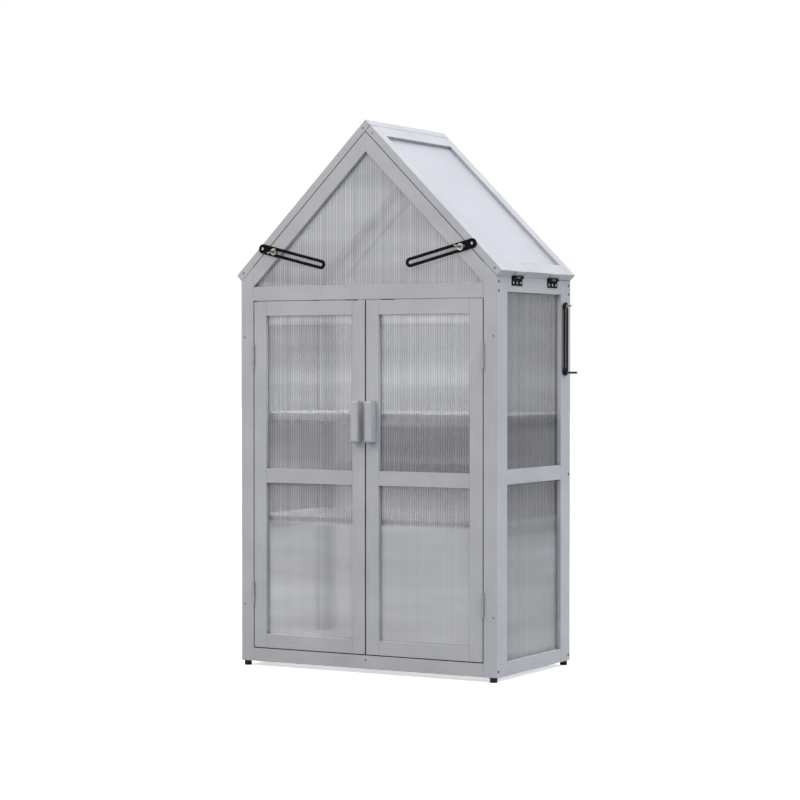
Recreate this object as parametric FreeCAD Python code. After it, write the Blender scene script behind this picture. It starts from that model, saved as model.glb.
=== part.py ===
import FreeCAD, Part
import math
import os
from FreeCAD import Placement, Rotation, Vector

os.makedirs("parts", exist_ok=True)

# Whole cabinet, in millimetres, standing on the floor at z = 0 with its front towards -Y.
body_width = 772.0
body_depth = 432.0
eave_height = 1035.0
roof_pitch = 45.0

# Painted boards: one stock for every frame, laid flat in its wall.
board = 38.0
thick = 20.0
bottom_rail = 35.0
foot_height = 13.0
foot_diameter = 20.0
foot_outwards = 5.0

# Twin-wall sheets in grooves run along the inner edges of the boards.
sheet = 4.0
skin = 0.5
web = 0.5
web_pitch = 14.0
groove_width = 4.6
groove_depth = 8.0
groove_front = 11.0
sheet_slack = 1.0
tenon_thickness = 4.4
tenon_slack = 0.5

# Doors, set into the front frame and flush with it.
door_gap = 2.5
meeting_gap = 4.0
door_mid_rail = 512.5
side_mid_rail = 521.5
back_mid_rail = 515.0
handle_width = 22.0
handle_depth = 25.0
handle_height = 107.0
handle_middle = 660.0
handle_chamfer = 3.0

# Shelves and floor of spaced slats.
upper_shelf = 681.0
lower_shelf = 405.0
floor_top = 59.0
slat_count = 7
slat_inset = 4.0
slat_end_gap = 2.0
cleat = 20.0
bearer_width = 30.0

# Butt hinges: pin, knuckle and plate.
pin_radius = 1.5
knuckle_radius = 3.2
running_clearance = 0.05
knuckle_gap = 0.3
pin_stand = 3.35
door_hinge_length = 67.0
door_hinge_from_end = 146.0
door_plate = 1.0
door_plate_reach = 16.0
roof_hinge_length = 60.0
roof_hinge_from_face = 112.0
roof_plate = 1.5
roof_plate_reach = 19.0

# Slotted stays with wing bolts.
stay_centres = 187.0
stay_half_width = 12.5
stay_thickness = 2.5
slot_half_width = 4.5
slot_start = 26.0
stay_hole = 3.1
stay_gap = 0.4
side_stay_gap = 4.5
pivot_up_slope = 109.0
pivot_above = 10.0
bolt_up_slope = 127.0
bolt_below = 20.0
side_bolt_below_eave = 70.0
side_stay_centres = 171.0
side_hole_past_end = 4.5
side_slot_start = 9.5
bolt_radius = 3.0
bolt_hole = 3.2
bolt_head_radius = 7.0
bolt_head = 3.0
washer_radius = 9.0
washer = 1.2
part_gap = 0.3
nut_height = 8.0
nut_radius = 5.5
wing_reach = 13.0
wing_rise = 15.0
wing_thickness = 2.6
wing_root = 2.5
wing_above_seat = 1.0
wing_low_edge = 2.2
bolt_past_nut = 3.0
pivot_screw_head = 5.0
pivot_screw_rise = 2.2
loose_bolt_length = 34.0
loose_head_radius = 5.0
loose_head_height = 3.5

# Magnetic door catches behind the header.
catch_width = 40.0
catch_depth = 16.0
catch_from_middle = 55.0
catch_up = 30.0
catch_down = 22.0
strike = 1.2
strike_margin = 4.0
strike_below_edge = 2.0

# The roof leaves lie this far above the wall frames, and this far apart at the ridge.
roof_gap = 0.6
ridge_gap = 0.8

# Places that follow from the sizes above.
half = body_width / 2
y_front = handle_depth / 2 - body_depth / 2
y_back = y_front + body_depth
z_post = foot_height
side_bolt_height = eave_height - side_bolt_below_eave
pitch = math.radians(roof_pitch)
rise = half * math.tan(pitch)
slope = half / math.cos(pitch)
post_in = half - board
gap_up = roof_gap / math.cos(pitch)
header_top = eave_height - gap_up + board * math.tan(pitch) - board / math.cos(pitch)
header_bottom = header_top - board
door_top = header_bottom - door_gap
door_bottom = z_post + bottom_rail + door_gap
door_hinge_edge = post_in - door_gap


def box(x0, x1, y0, y1, z0, z1):
    return Part.makeBox(x1 - x0, y1 - y0, z1 - z0, Vector(x0, y0, z0))


def prism(points, y0, y1):
    """A flat outline in X and Z, drawn out from y0 to y1."""
    corners = [Vector(x, y0, z) for x, z in points]
    wire = Part.makePolygon(corners + corners[:1])
    return Part.Face(wire).extrude(Vector(0, y1 - y0, 0))


def rod(start, direction, radius, length):
    return Part.makeCylinder(radius, length, start, direction)


def other_side(shape):
    """The same piece on the other side of the cabinet."""
    return shape.mirror(Vector(0, 0, 0), Vector(1, 0, 0))


def both_sides(shape):
    return [shape, other_side(shape)]


def join(first, *rest):
    return first.fuse(list(rest)).removeSplitter()


def obround(x0, x1, radius):
    """A slot outline with round ends, centred on the X axis."""
    top = Part.makeLine(Vector(x0, radius, 0), Vector(x1, radius, 0))
    right = Part.Arc(Vector(x1, radius, 0), Vector(x1 + radius, 0, 0), Vector(x1, -radius, 0)).toShape()
    bottom = Part.makeLine(Vector(x1, -radius, 0), Vector(x0, -radius, 0))
    left = Part.Arc(Vector(x0, -radius, 0), Vector(x0 - radius, 0, 0), Vector(x0, radius, 0)).toShape()
    return Part.Wire([top, right, bottom, left])


def circle(x, radius):
    return Part.Wire([Part.makeCircle(radius, Vector(x, 0, 0))])


def face_with_holes(outline, holes):
    return Part.makeFace([outline] + holes, "Part::FaceMakerBullseye")


def twin_wall(width, length):
    """A sheet from 0 to width in X, 0 to sheet in Y, with its open channels along Z."""
    def rectangle(x0, x1, y0, y1):
        corners = [Vector(x0, y0, 0), Vector(x1, y0, 0), Vector(x1, y1, 0), Vector(x0, y1, 0)]
        return Part.makePolygon(corners + corners[:1])

    count = int((width - web) / web_pitch)
    start = (width - count * web_pitch + web) / 2
    channels = []
    for i in range(count):
        x = start + i * web_pitch
        channels.append(rectangle(x, x + web_pitch - web, skin, sheet - skin))
    section = face_with_holes(rectangle(0, width, 0, sheet), channels)
    return section.extrude(Vector(0, 0, length))


def wall_sheet(x0, x1, z0, z1, y):
    """A sheet standing in the front or back wall."""
    shape = twin_wall(x1 - x0, z1 - z0)
    shape.translate(Vector(x0, y, z0))
    return shape


def grooves_x(x0, x1, z, up, y):
    """A groove along X in the edge of a board at height z, cut upwards or downwards."""
    z0, z1 = (z, z + groove_depth) if up else (z - groove_depth, z)
    return box(x0, x1, y, y + groove_width, z0, z1)


def wall_rail(x0, x1, z0, z1, y0, groove_y, edges, tenons):
    """A level board in the front or back wall, grooved on the named edges."""
    shape = box(x0, x1, y0, y0 + thick, z0, z1)
    if tenons:
        reach = groove_depth - tenon_slack
        y = groove_y + (groove_width - tenon_thickness) / 2
        shape = join(shape, box(x0 - reach, x1 + reach, y, y + tenon_thickness, z0, z1))
    for edge in edges:
        level = z1 if edge == "top" else z0
        cut = grooves_x(x0 - groove_depth, x1 + groove_depth, level, edge == "bottom", groove_y)
        shape = shape.cut(cut)
    return shape


def post(y0, groove_y):
    """The left corner post, its top cut to the roof line."""
    low = eave_height - gap_up
    outline = [(-half, z_post), (-post_in, z_post), (-post_in, low + board * math.tan(pitch)), (-half, low)]
    shape = prism(outline, y0, y0 + thick)
    if groove_y is not None:
        cut = box(-post_in - groove_depth, -post_in, groove_y, groove_y + groove_width, z_post, header_top)
        shape = shape.cut(cut)
    return shape


def rafter(y0, groove_y):
    """The left rafter, cut plumb against the post and at the ridge."""
    top = eave_height - gap_up
    drop = board / math.cos(pitch)
    foot_top = top + board * math.tan(pitch)
    ridge_top = top + rise
    outline = [(-post_in, foot_top - drop), (0, ridge_top - drop), (0, ridge_top), (-post_in, foot_top)]
    shape = prism(outline, y0, y0 + thick)
    up = groove_depth / math.cos(pitch)
    lines = [(-post_in, foot_top - drop), (0, ridge_top - drop)]
    groove = prism([lines[0], lines[1], (0, lines[1][1] + up), (-post_in, lines[0][1] + up)],
                   groove_y, groove_y + groove_width)
    return shape.cut(groove)


def gable_sheet(y):
    """The triangular sheet between header and rafters."""
    reach = groove_depth - sheet_slack
    bottom = header_top - groove_depth
    edge = post_in - sheet_slack / 2
    up = reach / math.cos(pitch)
    shoulder = header_top + (post_in - edge) * math.tan(pitch) + up
    peak = header_top + post_in * math.tan(pitch) + up
    blank = wall_sheet(-edge, edge, bottom, peak, y)
    outline = [(-edge, bottom), (edge, bottom), (edge, shoulder), (0, peak), (-edge, shoulder)]
    return blank.common(prism(outline, y - 1, y + sheet + 1))


def slat_row(top):
    """Level slats across the cabinet with equal gaps between them."""
    first = y_front + thick + slat_inset
    last = y_back - thick - slat_inset - board
    reach = half - thick - slat_end_gap
    step = (last - first) / (slat_count - 1)
    row = []
    for i in range(slat_count):
        y = first + i * step
        row.append(box(-reach, reach, y, y + board, top - thick, top))
    return row


def shelf_cleats(top):
    """The left and right battens that carry one shelf."""
    x = half - thick
    left = box(-x, -x + cleat, y_front + thick + 1, y_back - thick - 1, top - thick - cleat, top - thick)
    return both_sides(left)


def floor_bearers():
    """Battens from the front bottom rail to the back one, under the floor slats."""
    z1 = floor_top - thick
    reach = half - thick - slat_end_gap
    places = [-reach, -bearer_width / 2, reach - bearer_width]
    return [box(x, x + bearer_width, y_front + thick, y_back - thick, z1 - cleat, z1) for x in places]


def feet():
    inset = thick / 2
    x = half - board / 2 + foot_outwards
    made = []
    for y in (y_front + inset, y_back - inset):
        made += both_sides(rod(Vector(-x, y, 0), Vector(0, 0, 1), foot_diameter / 2, foot_height))
    return made


def knuckle_spans(length):
    """Three knuckles along a hinge: the outer two belong to the fixed plate."""
    third = length / 3
    outer = [(0, third - knuckle_gap / 2), (2 * third + knuckle_gap / 2, length)]
    middle = [(third + knuckle_gap / 2, 2 * third - knuckle_gap / 2)]
    return outer, middle


def hinge_half(length, plate_shape, spans, other_spans, solid_pin):
    """One half of a hinge with its pin along +Z through the origin."""
    shape = plate_shape
    for z0, z1 in other_spans:
        room = knuckle_radius + knuckle_gap
        notch = z1 - z0 + 2 * knuckle_gap
        shape = shape.cut(rod(Vector(0, 0, z0 - knuckle_gap), Vector(0, 0, 1), room, notch))
    rings = [rod(Vector(0, 0, z0), Vector(0, 0, 1), knuckle_radius, z1 - z0) for z0, z1 in spans]
    if solid_pin:
        rings.append(rod(Vector(0, 0, 0), Vector(0, 0, 1), pin_radius, length))
        return join(shape, *rings)
    shape = join(shape, *rings)
    return shape.cut(rod(Vector(0, 0, -1), Vector(0, 0, 1), pin_radius + running_clearance, length + 2))


def door_hinge(z):
    """The two halves of a hinge on the left door, centred at height z."""
    outer, middle = knuckle_spans(door_hinge_length)
    near = door_gap / 2 - door_plate
    far = door_gap / 2
    back = pin_stand + door_plate_reach
    fixed_plate = box(-far, -near, 0, back, 0, door_hinge_length)
    moving_plate = box(near, far, 0, back, 0, door_hinge_length)
    fixed = hinge_half(door_hinge_length, fixed_plate, outer, middle, True)
    moving = hinge_half(door_hinge_length, moving_plate, middle, outer, False)
    place = Vector(-post_in + door_gap / 2, y_front - pin_stand, z - door_hinge_length / 2)
    for shape in (fixed, moving):
        shape.translate(place)
    return fixed, moving


def roof_pin():
    """Where the left roof hinge pin runs, in X and Z."""
    reach = pin_stand / math.cos(pitch / 2)
    return -half - reach * math.cos(pitch / 2), eave_height - reach * math.sin(pitch / 2)


def roof_hinge(y):
    """The two halves of a hinge at the left eave, centred at depth y."""
    outer, middle = knuckle_spans(roof_hinge_length)
    fixed_plate = box(pin_stand - roof_plate, pin_stand, -roof_plate_reach - 2, 0, 0, roof_hinge_length)
    moving_plate = box(-pin_stand, roof_plate - pin_stand, -roof_plate_reach, 0, 0, roof_hinge_length)
    turn = Rotation(Vector(0, 0, 1), -(180 - roof_pitch))
    moving_plate.Placement = Placement(Vector(0, 0, 0), turn)
    fixed = hinge_half(roof_hinge_length, fixed_plate, outer, middle, True)
    moving = hinge_half(roof_hinge_length, moving_plate, middle, outer, False)
    x, z = roof_pin()
    lay = Placement(Vector(x, y + roof_hinge_length / 2, z), Rotation(Vector(1, 0, 0), 90))
    made = []
    for shape in (fixed, moving):
        shape.Placement = lay.multiply(shape.Placement)
        made.append(shape)
    return made


def framed_leaf(length, bevel):
    """Boards and sheet of a roof leaf lying flat: X up the slope, Z outwards."""
    top = thick - groove_front - groove_width
    outline = [(0, 0), (length, 0), (length - bevel, thick), (0, thick)]

    def edge_board(y0, inner):
        shape = prism(outline, y0, y0 + board)
        y = y0 + board - groove_depth if inner > 0 else y0
        return shape.cut(box(board - groove_depth, length - board + groove_depth,
                             y, y + groove_depth, top, top + groove_width))

    stiles = [edge_board(y_front, 1), edge_board(y_back - board, -1)]
    y0 = y_front + board
    y1 = y_back - board
    low = box(0, board, y0, y1, 0, thick)
    low = low.cut(box(board - groove_depth, board, y0, y1, top, top + groove_width))
    high_start = length - board
    high = prism([(high_start, 0), (length, 0), (length - bevel, thick), (high_start, thick)], y0, y1)
    high = high.cut(box(high_start, high_start + groove_depth, y0, y1, top, top + groove_width))
    reach = groove_depth - sheet_slack
    span = length - 2 * board + groove_depth + reach
    panel = twin_wall(y1 - y0 + 2 * reach, span)
    lay = Rotation(Vector(0, 1, 0), Vector(0, 0, 1), Vector(1, 0, 0), "XYZ")
    panel.Placement = Placement(Vector(board - groove_depth, y0 - reach, top), lay)
    return stiles, [low, high], panel


def set_leaf(shape):
    """Lifts a leaf lying flat to its place on the left slope."""
    raise_it = Placement(Vector(-half, 0, eave_height), Rotation(Vector(0, -1, 0), roof_pitch))
    shape.Placement = raise_it.multiply(shape.Placement)
    return shape


def on_slope(up, out):
    """A point on the left slope, in X and Z, from its distance up the slope and out of it."""
    x = -half + up * math.cos(pitch) - out * math.sin(pitch)
    z = eave_height + up * math.sin(pitch) + out * math.cos(pitch)
    return x, z


def stay_bar(hole_at, slot_from, centres):
    """A slotted stay in the XY plane, with its solid end rounded about the origin."""
    outline = obround(0, centres, stay_half_width)
    holes = [circle(hole_at, stay_hole), obround(slot_from, centres, slot_half_width)]
    return face_with_holes(outline, holes).extrude(Vector(0, 0, stay_thickness))


def front_stay():
    """The left front stay with its pivot screw, lying across the front of the gable."""
    px, pz = on_slope(pivot_up_slope, pivot_above)
    wx, wz = on_slope(bolt_up_slope, -bolt_below)
    lean = math.degrees(math.atan2(wz - pz, wx - px))
    shank = rod(Vector(0, 0, 0), Vector(0, 0, 1), stay_hole - running_clearance, stay_thickness)
    head_at = Vector(0, 0, stay_thickness)
    head = Part.makeCone(pivot_screw_head, pivot_screw_head * 0.6, pivot_screw_rise, head_at)
    screw = join(shank, head)
    turn = Rotation(Vector(0, -1, 0), lean).multiply(Rotation(Vector(1, 0, 0), 90))
    bar = stay_bar(0, slot_start, stay_centres)
    for shape in (bar, screw):
        shape.Placement = Placement(Vector(px, y_front - stay_gap, pz), turn)
    return [bar, screw]


def side_stay():
    """The left side stay hanging from its bolt, and the loose bolt in its free end."""
    rest = bolt_radius + running_clearance - slot_half_width
    z = side_bolt_height + rest - side_stay_centres
    y = y_back - thick - board / 2
    turn = Rotation(Vector(0, 0, 1), Vector(0, 1, 0), Vector(-1, 0, 0), "XYZ")
    place = Placement(Vector(-half - side_stay_gap, y, z), turn)
    bar = stay_bar(-side_hole_past_end, side_slot_start, side_stay_centres)
    bar.Placement = place
    head_at = Vector(-side_hole_past_end, 0, -loose_head_height)
    head = rod(head_at, Vector(0, 0, 1), loose_head_radius, loose_head_height)
    loose_radius = stay_hole - running_clearance
    shank = rod(Vector(-side_hole_past_end, 0, 0), Vector(0, 0, 1), loose_radius, loose_bolt_length)
    bolt = join(head, shank)
    bolt.Placement = place
    return bar, bolt


def wing_nut():
    """A wing nut with its thread along +Z and its seat at the origin."""
    hub = Part.makeCone(nut_radius, nut_radius * 0.8, nut_height)
    half_t = wing_thickness / 2
    low = [Vector(wing_root, -half_t, wing_above_seat), Vector(wing_reach * 0.7, -half_t, wing_low_edge)]
    tip = Vector(wing_reach, -half_t, wing_rise * 0.62)
    high = [Vector(wing_reach * 0.78, -half_t, wing_rise), Vector(wing_root, -half_t, nut_height * 0.9)]
    ear = Part.Wire([
        Part.makeLine(low[0], low[1]),
        Part.Arc(low[1], tip, high[0]).toShape(),
        Part.makeLine(high[0], high[1]),
        Part.makeLine(high[1], low[0]),
    ])
    wing = Part.Face(ear).extrude(Vector(0, wing_thickness, 0))
    shape = join(hub, wing, other_side(wing))
    return shape.cut(rod(Vector(0, 0, -1), Vector(0, 0, 1), bolt_radius + running_clearance, wing_rise))


def outwards(shape, place, turn, roll):
    """Lays a piece made along +Z on to a wall, rolled about its own axis."""
    shape.Placement = Placement(place, turn.multiply(Rotation(Vector(0, 0, 1), roll)))
    return shape


to_front = Rotation(Vector(1, 0, 0), 90)
to_left = Rotation(Vector(0, 1, 0), -90)
front_stack = stay_gap + stay_thickness + part_gap
nut_seat = front_stack + washer + part_gap
side_nut_seat = side_stay_gap + stay_thickness + part_gap
wing_x, wing_z = on_slope(bolt_up_slope, -bolt_below)
side_bolt_y = y_back - thick - board / 2


def stay_bolt(seat, collar):
    """A bolt through a board, its head inside and its thread out through the stay."""
    shape = rod(Vector(0, 0, -thick), Vector(0, 0, 1), bolt_radius, thick + seat + nut_height + bolt_past_nut)
    head_at = Vector(0, 0, -thick - bolt_head)
    head = Part.makeCone(bolt_head_radius * 0.6, bolt_head_radius, bolt_head, head_at)
    shape = join(shape, head)
    if collar:
        shape = join(shape, rod(Vector(0, 0, 0), Vector(0, 0, 1), bolt_radius * 2, collar))
    return shape


def washer_ring():
    ring = rod(Vector(0, 0, 0), Vector(0, 0, 1), washer_radius, washer)
    return ring.cut(rod(Vector(0, 0, -1), Vector(0, 0, 1), bolt_radius + running_clearance, washer + 2))


def catch():
    """The left magnetic catch, seated on the back of the header."""
    y = y_front + thick
    x0 = -catch_from_middle - catch_width / 2
    x1 = x0 + catch_width
    seat = box(x0, x1, y, y + catch_depth, header_bottom, header_bottom + catch_up)
    nose = box(x0, x1, y + strike + part_gap, y + catch_depth, header_bottom - catch_down, header_bottom)
    return join(seat, nose)


def strike_plate():
    y = y_front + thick
    x0 = -catch_from_middle - catch_width / 2
    z1 = door_top - strike_below_edge
    x1 = x0 + catch_width - strike_margin
    return box(x0 + strike_margin, x1, y, y + strike, z1 - catch_down + strike_margin, z1)


def handle():
    """The left door's grip, a block with its front edges taken off."""
    x = -meeting_gap / 2 - board / 2
    z0 = handle_middle - handle_height / 2
    x0, x1 = x - handle_width / 2, x + handle_width / 2
    block = box(x0, x1, y_front - handle_depth, y_front, z0, z0 + handle_height)
    face = y_front - handle_depth
    edges = [e for e in block.Edges if all(abs(v.Y - face) < 0.01 for v in e.Vertexes)]
    return block.makeChamfer(handle_chamfer, edges)


def door():
    """Boards and sheets of the left door."""
    x0 = -door_hinge_edge
    x1 = -meeting_gap / 2
    in0 = x0 + board
    in1 = x1 - board
    y = y_front + groove_front
    stiles = []
    for left, right, groove_x in ((x0, in0, in0 - groove_depth), (in1, x1, in1)):
        stile = box(left, right, y_front, y_front + thick, door_bottom, door_top)
        cut = box(groove_x, groove_x + groove_depth, y, y + groove_width, door_bottom, door_top)
        stiles.append(stile.cut(cut))
    mid0 = door_mid_rail - board / 2
    mid1 = door_mid_rail + board / 2
    rails = [
        wall_rail(in0, in1, door_bottom, door_bottom + board, y_front, y, ["top"], True),
        wall_rail(in0, in1, mid0, mid1, y_front, y, ["top", "bottom"], True),
        wall_rail(in0, in1, door_top - board, door_top, y_front, y, ["bottom"], True),
    ]
    reach = groove_depth - sheet_slack
    panels = [
        wall_sheet(in0 - reach, in1 + reach, door_bottom + board - groove_depth, mid0 + reach, y),
        wall_sheet(in0 - reach, in1 + reach, mid1 - groove_depth, door_top - board + reach, y),
    ]
    return stiles, rails, panels


def side_frame():
    """Boards and sheets of the left wall, made facing the front and turned into place."""
    length = body_depth - 2 * thick
    in0 = board
    in1 = length - board
    top = eave_height - gap_up
    stiles = []
    for left, groove_x in ((0, in0 - groove_depth), (in1, in1)):
        stile = box(left, left + board, 0, thick, z_post, top)
        cut = box(groove_x, groove_x + groove_depth, groove_front, groove_front + groove_width, z_post, top)
        stiles.append(stile.cut(cut))
    mid0 = side_mid_rail - board / 2
    mid1 = side_mid_rail + board / 2
    low = z_post + bottom_rail
    rails = [
        wall_rail(in0, in1, z_post, low, 0, groove_front, ["top"], True),
        wall_rail(in0, in1, mid0, mid1, 0, groove_front, ["top", "bottom"], True),
        wall_rail(in0, in1, top - board, top, 0, groove_front, ["bottom"], True),
    ]
    reach = groove_depth - sheet_slack
    panels = [
        wall_sheet(in0 - reach, in1 + reach, low - groove_depth, mid0 + reach, groove_front),
        wall_sheet(in0 - reach, in1 + reach, mid1 - groove_depth, top - board + reach, groove_front),
    ]
    bolt = rod(Vector(board / 2, -1, side_bolt_height), Vector(0, 1, 0), bolt_hole, thick + 2)
    stiles[0] = stiles[0].cut(bolt)
    # The outer face turns to -X and the frame's left end to the back of the cabinet.
    turn = Placement(Vector(-half, y_back - thick, 0), Rotation(Vector(0, 0, 1), -90))
    for group in (stiles, rails, panels):
        for shape in group:
            shape.Placement = turn.multiply(shape.Placement)
    return stiles, rails, panels


groove_y = y_front + groove_front
back_groove_y = y_back - groove_front - groove_width
back_sheet_y = back_groove_y + groove_width - sheet
reach = groove_depth - sheet_slack
low_top = z_post + bottom_rail
back_mid0 = back_mid_rail - board / 2
back_mid1 = back_mid_rail + board / 2
y_rear = y_back - thick

front_post = post(y_front, None)
back_post = post(y_rear, back_groove_y)

front_rails = [
    wall_rail(-post_in, post_in, z_post, low_top, y_front, groove_y, [], False),
    wall_rail(-post_in, post_in, header_bottom, header_top, y_front, groove_y, ["top"], False),
]
back_rails = [
    wall_rail(-post_in, post_in, z_post, low_top, y_rear, back_groove_y, ["top"], True),
    wall_rail(-post_in, post_in, back_mid0, back_mid1, y_rear, back_groove_y, ["top", "bottom"], True),
    wall_rail(-post_in, post_in, header_bottom, header_top, y_rear, back_groove_y, ["top", "bottom"], True),
]
back_panels = [
    wall_sheet(-post_in - reach, post_in + reach, low_top - groove_depth, back_mid0 + reach, back_sheet_y),
    wall_sheet(-post_in - reach, post_in + reach, back_mid1 - groove_depth, header_bottom + reach,
               back_sheet_y),
]

bolt_way = rod(Vector(wing_x, y_front - 1, wing_z), Vector(0, 1, 0), bolt_hole, thick + 2)
front_rafter = rafter(y_front, groove_y).cut(bolt_way)
back_rafter = rafter(y_rear, back_groove_y)

side_stiles, side_rails, side_panels = side_frame()
door_stiles, door_rails, door_panels = door()

lap = thick / math.sin(2 * pitch)
bevel = thick / math.tan(2 * pitch)
left_leaf = framed_leaf(slope + lap, bevel)
right_leaf = framed_leaf(slope - ridge_gap, bevel)
left_stiles, left_rails, left_panel = [[set_leaf(s) for s in g] if isinstance(g, list) else set_leaf(g)
                                       for g in left_leaf]
right_stiles, right_rails, right_panel = [[set_leaf(s) for s in g] if isinstance(g, list) else set_leaf(g)
                                          for g in right_leaf]

door_hinges = [door_hinge(z) for z in (door_bottom + door_hinge_from_end, door_top - door_hinge_from_end)]
roof_hinges = [roof_hinge(y) for y in (y_front + roof_hinge_from_face, y_back - roof_hinge_from_face)]

front_bolt = outwards(stay_bolt(nut_seat, 0), Vector(wing_x, y_front, wing_z), to_front, 0)
side_bolt = outwards(stay_bolt(side_nut_seat, side_stay_gap - part_gap),
                     Vector(-half, side_bolt_y, side_bolt_height), to_left, 0)
front_washer = outwards(washer_ring(), Vector(wing_x, y_front - front_stack, wing_z), to_front, 0)
front_nut = outwards(wing_nut(), Vector(wing_x, y_front - nut_seat, wing_z), to_front, 20)
side_nut = outwards(wing_nut(), Vector(-half - side_nut_seat, side_bolt_y, side_bolt_height), to_left, 75)
side_bar, loose_bolt = side_stay()

nodes = {
    "front_post_left": [front_post],
    "front_post_right": [other_side(front_post)],
    "front_rails": front_rails,
    "front_rafters": both_sides(front_rafter),
    "front_gable_panel": [gable_sheet(groove_y)],
    "back_post_left": [back_post],
    "back_post_right": [other_side(back_post)],
    "back_rails": back_rails,
    "back_rafters": both_sides(back_rafter),
    "back_gable_panel": [gable_sheet(back_sheet_y)],
    "back_panels": back_panels,
    "feet": feet(),
    "upper_shelf_slats": slat_row(upper_shelf),
    "lower_shelf_slats": slat_row(lower_shelf),
    "shelf_cleats": shelf_cleats(upper_shelf) + shelf_cleats(lower_shelf),
    "floor_slats": slat_row(floor_top),
    "floor_bearers": floor_bearers(),
    "door_hinge_frame_leaves": [s for fixed, moving in door_hinges for s in both_sides(fixed)],
    "roof_hinge_frame_leaves": [s for fixed, moving in roof_hinges for s in both_sides(fixed)],
    "stay_bolts": both_sides(front_bolt) + both_sides(side_bolt),
    "door_catches": both_sides(catch()),
}

sided = {
    "side_stiles": side_stiles,
    "side_rails": side_rails,
    "side_panels": side_panels,
    "door_stiles": door_stiles,
    "door_rails": door_rails,
    "door_panels": door_panels,
    "door_handle": [handle()],
    "door_strike": [strike_plate()],
    "door_hinge_leaves": [moving for fixed, moving in door_hinges],
    "roof_hinge_leaves": [moving for fixed, moving in roof_hinges],
    "front_stay": front_stay(),
    "stay_washer": [front_washer],
    "front_wing_nut": [front_nut],
    "side_stay": [side_bar],
    "side_loose_bolt": [loose_bolt],
    "side_wing_nut": [side_nut],
}
for name, solids in sided.items():
    nodes["left_" + name] = solids
    nodes["right_" + name] = [other_side(s) for s in solids]

nodes["left_roof_stiles"] = left_stiles
nodes["left_roof_rails"] = left_rails
nodes["left_roof_panel"] = [left_panel]
nodes["right_roof_stiles"] = [other_side(s) for s in right_stiles]
nodes["right_roof_rails"] = [other_side(s) for s in right_rails]
nodes["right_roof_panel"] = [other_side(right_panel)]

for name, solids in nodes.items():
    shape = solids[0] if len(solids) == 1 else Part.makeCompound(solids)
    shape.exportStep("parts/" + name + ".step")
    print(name, len(solids), "solids", round(shape.Volume / 1000, 2), "cm3", shape.isValid())
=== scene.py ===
# %% [markdown]
# # Dressing a garden greenhouse cabinet
# The imported model is the fixed frame: its boards, hinges and stays already have their true shape and place. This
# lesson gives every board its paint, swaps the sheets for twin-wall ones with fine webs, adds feet and screws, and
# then sets up the studio. We begin by loading the frame; a helper measures the box of any of its parts.

# %% Load the frame
import math
import bmesh
import bpy
from mathutils import Matrix, Vector


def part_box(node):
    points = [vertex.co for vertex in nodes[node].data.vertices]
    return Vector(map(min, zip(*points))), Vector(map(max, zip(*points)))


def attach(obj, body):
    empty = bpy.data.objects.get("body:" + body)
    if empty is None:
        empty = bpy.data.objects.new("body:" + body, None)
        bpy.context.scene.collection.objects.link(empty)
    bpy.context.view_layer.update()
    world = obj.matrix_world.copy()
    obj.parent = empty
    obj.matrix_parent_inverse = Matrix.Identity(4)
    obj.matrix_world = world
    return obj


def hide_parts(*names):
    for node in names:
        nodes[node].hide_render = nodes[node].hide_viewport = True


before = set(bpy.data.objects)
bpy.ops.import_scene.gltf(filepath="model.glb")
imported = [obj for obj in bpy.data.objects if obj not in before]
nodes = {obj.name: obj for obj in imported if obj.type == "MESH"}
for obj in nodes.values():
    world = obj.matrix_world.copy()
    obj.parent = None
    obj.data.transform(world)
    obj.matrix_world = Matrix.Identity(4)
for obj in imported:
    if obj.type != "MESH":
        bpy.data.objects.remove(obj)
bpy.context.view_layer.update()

print("frame loaded:", len(nodes), "nodes")

# %% [markdown]
# ## Helpers for shaders
# Every finish starts as one Principled shader. Values that are the same all over go on its own sockets; only patterns
# are wired in. Patterns read object coordinates, which are metres here, so a grain keeps its real scale on each piece.

# %% Nodes and numbers
def new_finish(name, color, roughness, metallic=0.0):
    mat = bpy.data.materials.new(name)
    mat.use_nodes = True
    shader = mat.node_tree.nodes["Principled BSDF"]
    shader.inputs["Base Color"].default_value = (*color, 1.0)
    shader.inputs["Roughness"].default_value = roughness
    shader.inputs["Metallic"].default_value = metallic
    return mat, mat.node_tree, shader


def add(tree, kind, links=None, operation=None, **values):
    """Adds a node, sets its named inputs, and wires sockets or sets numbers on the inputs in links."""
    made = tree.nodes.new(kind)
    if operation:
        made.operation = operation
    for key, value in values.items():
        made.inputs[key.replace("_", " ")].default_value = value
    for key, source in (links or {}).items():
        if isinstance(source, float):
            made.inputs[key].default_value = source
        else:
            tree.links.new(source, made.inputs[key])
    return made


def calc(tree, operation, *values):
    """Calculates with sockets and numbers."""
    return add(tree, "ShaderNodeMath", dict(enumerate(values)), operation).outputs[0]


def rescale(tree, value, low, high, first=0.0, last=1.0):
    """Lays the range from low to high on the range from first to last, and holds the ends."""
    made = add(tree, "ShaderNodeMapRange", {"Value": value}, From_Min=low, From_Max=high, To_Min=first, To_Max=last)
    return made.outputs["Result"]


print("node helpers ready")

# %% [markdown]
# Places and directions come as vectors. A dot product measures how far along a direction a point lies, and a single
# coordinate is often all that a pattern needs.

# %% Places and directions
def spot(tree):
    return tree.nodes.new("ShaderNodeTexCoord").outputs["Object"]


def normal_of(tree):
    return tree.nodes.new("ShaderNodeNewGeometry").outputs["Normal"]


def part_of(tree, vector, axis):
    return add(tree, "ShaderNodeSeparateXYZ", {"Vector": vector}).outputs[axis]


def dot(tree, vector, direction):
    made = add(tree, "ShaderNodeVectorMath", {0: vector}, "DOT_PRODUCT")
    made.inputs[1].default_value = direction
    return made.outputs["Value"]


print("place helpers ready")

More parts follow.
